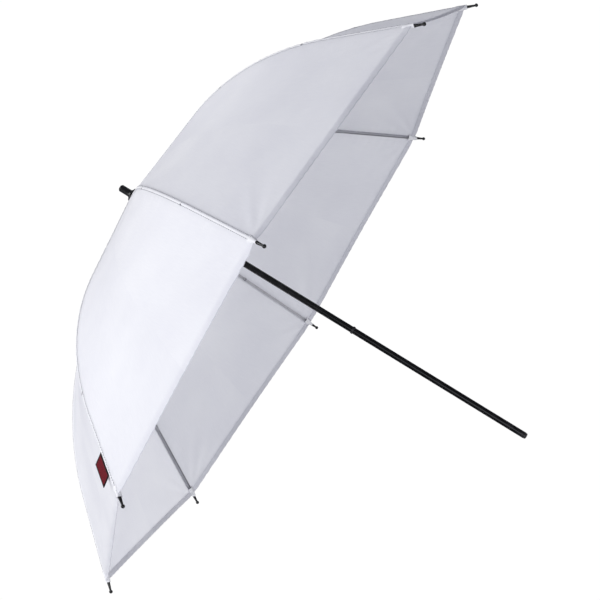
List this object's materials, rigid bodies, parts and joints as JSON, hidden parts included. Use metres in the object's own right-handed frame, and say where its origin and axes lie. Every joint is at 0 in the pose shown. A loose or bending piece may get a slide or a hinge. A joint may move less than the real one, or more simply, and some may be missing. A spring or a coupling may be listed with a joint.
{
  "type": "photographic umbrella",
  "caption": "Translucent white studio lighting umbrella on a slim black shaft that folds by a sliding runner.",
  "frame": {"origin": "on the shaft's axis, at the middle of the bare length that a stand bracket grips", "axes": "+Z along the shaft towards the canopy's apex, +X along a rib"},
  "size_m": [0.86, 0.86, 0.5913],
  "materials": {
    "black_tube": "gloss",
    "black_plastic": "satin",
    "black_gloss": "gloss",
    "steel_wire": "satin",
    "rib_steel": "satin",
    "white_fabric": "translucent nylon",
    "label_cloth": "woven"
  },
  "bodies": {
    "frame": {"shaft": "black_tube", "crown": "black_plastic", "crown_wire": "steel_wire", "crown_rivet": "steel_wire", "ferrule": "black_gloss", "apex_patch": "white_fabric", "stop_ring": "black_plastic", "end_plug": "black_plastic"},
    "runner": {"runner": "black_plastic", "runner_wire": "steel_wire"},
    "catch": {"spring_catch": "steel_wire"},
    "rib_1": {"rib_1": "rib_steel", "rib_tip_1": "black_gloss", "rib_rivet_1": "steel_wire", "canopy_gore_1": "white_fabric"},
    "stretcher_1": {"stretcher_1": "rib_steel"},
    "rib_2": {"rib_2": "rib_steel", "rib_tip_2": "black_gloss", "rib_rivet_2": "steel_wire", "canopy_gore_2": "white_fabric"},
    "stretcher_2": {"stretcher_2": "rib_steel"},
    "rib_3": {"rib_3": "rib_steel", "rib_tip_3": "black_gloss", "rib_rivet_3": "steel_wire", "canopy_gore_3": "white_fabric"},
    "stretcher_3": {"stretcher_3": "rib_steel"},
    "rib_4": {"rib_4": "rib_steel", "rib_tip_4": "black_gloss", "rib_rivet_4": "steel_wire", "canopy_gore_4": "white_fabric"},
    "stretcher_4": {"stretcher_4": "rib_steel"},
    "rib_5": {"rib_5": "rib_steel", "rib_tip_5": "black_gloss", "rib_rivet_5": "steel_wire", "canopy_gore_5": "white_fabric"},
    "stretcher_5": {"stretcher_5": "rib_steel"},
    "rib_6": {"rib_6": "rib_steel", "rib_tip_6": "black_gloss", "rib_rivet_6": "steel_wire", "canopy_gore_6": "white_fabric", "label": "label_cloth"},
    "stretcher_6": {"stretcher_6": "rib_steel"},
    "rib_7": {"rib_7": "rib_steel", "rib_tip_7": "black_gloss", "rib_rivet_7": "steel_wire", "canopy_gore_7": "white_fabric"},
    "stretcher_7": {"stretcher_7": "rib_steel"},
    "rib_8": {"rib_8": "rib_steel", "rib_tip_8": "black_gloss", "rib_rivet_8": "steel_wire", "canopy_gore_8": "white_fabric"},
    "stretcher_8": {"stretcher_8": "rib_steel"}
  },
  "joints": [
    {"name": "runner_slide", "type": "slide", "parent": "frame", "child": "runner", "axis": [0, 0, -1], "range_m": [0, 0.19127], "deforming": ["canopy_gore_1", "canopy_gore_2", "canopy_gore_3", "canopy_gore_4", "canopy_gore_5", "canopy_gore_6", "canopy_gore_7", "canopy_gore_8", "label"]},
    {"name": "catch_press", "type": "slide", "parent": "frame", "child": "catch", "axis": [-0.9239, -0.3827, 0], "range_m": [0, 0.0014], "stiffness_N_per_m": 1500, "springref_m": -0.0004},
    {"name": "rib_1_fold", "type": "hinge", "parent": "frame", "child": "rib_1", "pos_m": [0.008, 0, 0.442], "axis": [0, 1, 0], "range_deg": [0, 57.01]},
    {"name": "stretcher_1_fold", "type": "hinge", "parent": "rib_1", "child": "stretcher_1", "pos_m": [0.14895, 0, 0.40761], "axis": [0, -1, 0], "range_deg": [0, 107.8]},
    {"name": "rib_2_fold", "type": "hinge", "parent": "frame", "child": "rib_2", "pos_m": [0.00566, 0.00566, 0.442], "axis": [-0.7071, 0.7071, 0], "range_deg": [0, 57.01]},
    {"name": "stretcher_2_fold", "type": "hinge", "parent": "rib_2", "child": "stretcher_2", "pos_m": [0.10532, 0.10532, 0.40761], "axis": [0.7071, -0.7071, 0], "range_deg": [0, 107.8]},
    {"name": "rib_3_fold", "type": "hinge", "parent": "frame", "child": "rib_3", "pos_m": [0, 0.008, 0.442], "axis": [-1, 0, 0], "range_deg": [0, 57.01]},
    {"name": "stretcher_3_fold", "type": "hinge", "parent": "rib_3", "child": "stretcher_3", "pos_m": [0, 0.14895, 0.40761], "axis": [1, 0, 0], "range_deg": [0, 107.8]},
    {"name": "rib_4_fold", "type": "hinge", "parent": "frame", "child": "rib_4", "pos_m": [-0.00566, 0.00566, 0.442], "axis": [-0.7071, -0.7071, 0], "range_deg": [0, 57.01]},
    {"name": "stretcher_4_fold", "type": "hinge", "parent": "rib_4", "child": "stretcher_4", "pos_m": [-0.10532, 0.10532, 0.40761], "axis": [0.7071, 0.7071, 0], "range_deg": [0, 107.8]},
    {"name": "rib_5_fold", "type": "hinge", "parent": "frame", "child": "rib_5", "pos_m": [-0.008, 0, 0.442], "axis": [0, -1, 0], "range_deg": [0, 57.01]},
    {"name": "stretcher_5_fold", "type": "hinge", "parent": "rib_5", "child": "stretcher_5", "pos_m": [-0.14895, 0, 0.40761], "axis": [0, 1, 0], "range_deg": [0, 107.8]},
    {"name": "rib_6_fold", "type": "hinge", "parent": "frame", "child": "rib_6", "pos_m": [-0.00566, -0.00566, 0.442], "axis": [0.7071, -0.7071, 0], "range_deg": [0, 57.01]},
    {"name": "stretcher_6_fold", "type": "hinge", "parent": "rib_6", "child": "stretcher_6", "pos_m": [-0.10532, -0.10532, 0.40761], "axis": [-0.7071, 0.7071, 0], "range_deg": [0, 107.8]},
    {"name": "rib_7_fold", "type": "hinge", "parent": "frame", "child": "rib_7", "pos_m": [0, -0.008, 0.442], "axis": [1, 0, 0], "range_deg": [0, 57.01]},
    {"name": "stretcher_7_fold", "type": "hinge", "parent": "rib_7", "child": "stretcher_7", "pos_m": [0, -0.14895, 0.40761], "axis": [-1, 0, 0], "range_deg": [0, 107.8]},
    {"name": "rib_8_fold", "type": "hinge", "parent": "frame", "child": "rib_8", "pos_m": [0.00566, -0.00566, 0.442], "axis": [0.7071, 0.7071, 0], "range_deg": [0, 57.01]},
    {"name": "stretcher_8_fold", "type": "hinge", "parent": "rib_8", "child": "stretcher_8", "pos_m": [0.10532, -0.10532, 0.40761], "axis": [-0.7071, -0.7071, 0], "range_deg": [0, 107.8]}
  ],
  "couplings": [
    {"joint": "rib_1_fold", "follows": "runner_slide", "rad_per_m": 5.2012},
    {"joint": "stretcher_1_fold", "follows": "runner_slide", "rad_per_m": 9.8359},
    {"joint": "rib_2_fold", "follows": "runner_slide", "rad_per_m": 5.2012},
    {"joint": "stretcher_2_fold", "follows": "runner_slide", "rad_per_m": 9.8359},
    {"joint": "rib_3_fold", "follows": "runner_slide", "rad_per_m": 5.2012},
    {"joint": "stretcher_3_fold", "follows": "runner_slide", "rad_per_m": 9.8359},
    {"joint": "rib_4_fold", "follows": "runner_slide", "rad_per_m": 5.2012},
    {"joint": "stretcher_4_fold", "follows": "runner_slide", "rad_per_m": 9.8359},
    {"joint": "rib_5_fold", "follows": "runner_slide", "rad_per_m": 5.2012},
    {"joint": "stretcher_5_fold", "follows": "runner_slide", "rad_per_m": 9.8359},
    {"joint": "rib_6_fold", "follows": "runner_slide", "rad_per_m": 5.2012},
    {"joint": "stretcher_6_fold", "follows": "runner_slide", "rad_per_m": 9.8359},
    {"joint": "rib_7_fold", "follows": "runner_slide", "rad_per_m": 5.2012},
    {"joint": "stretcher_7_fold", "follows": "runner_slide", "rad_per_m": 9.8359},
    {"joint": "rib_8_fold", "follows": "runner_slide", "rad_per_m": 5.2012},
    {"joint": "stretcher_8_fold", "follows": "runner_slide", "rad_per_m": 9.8359}
  ]
}
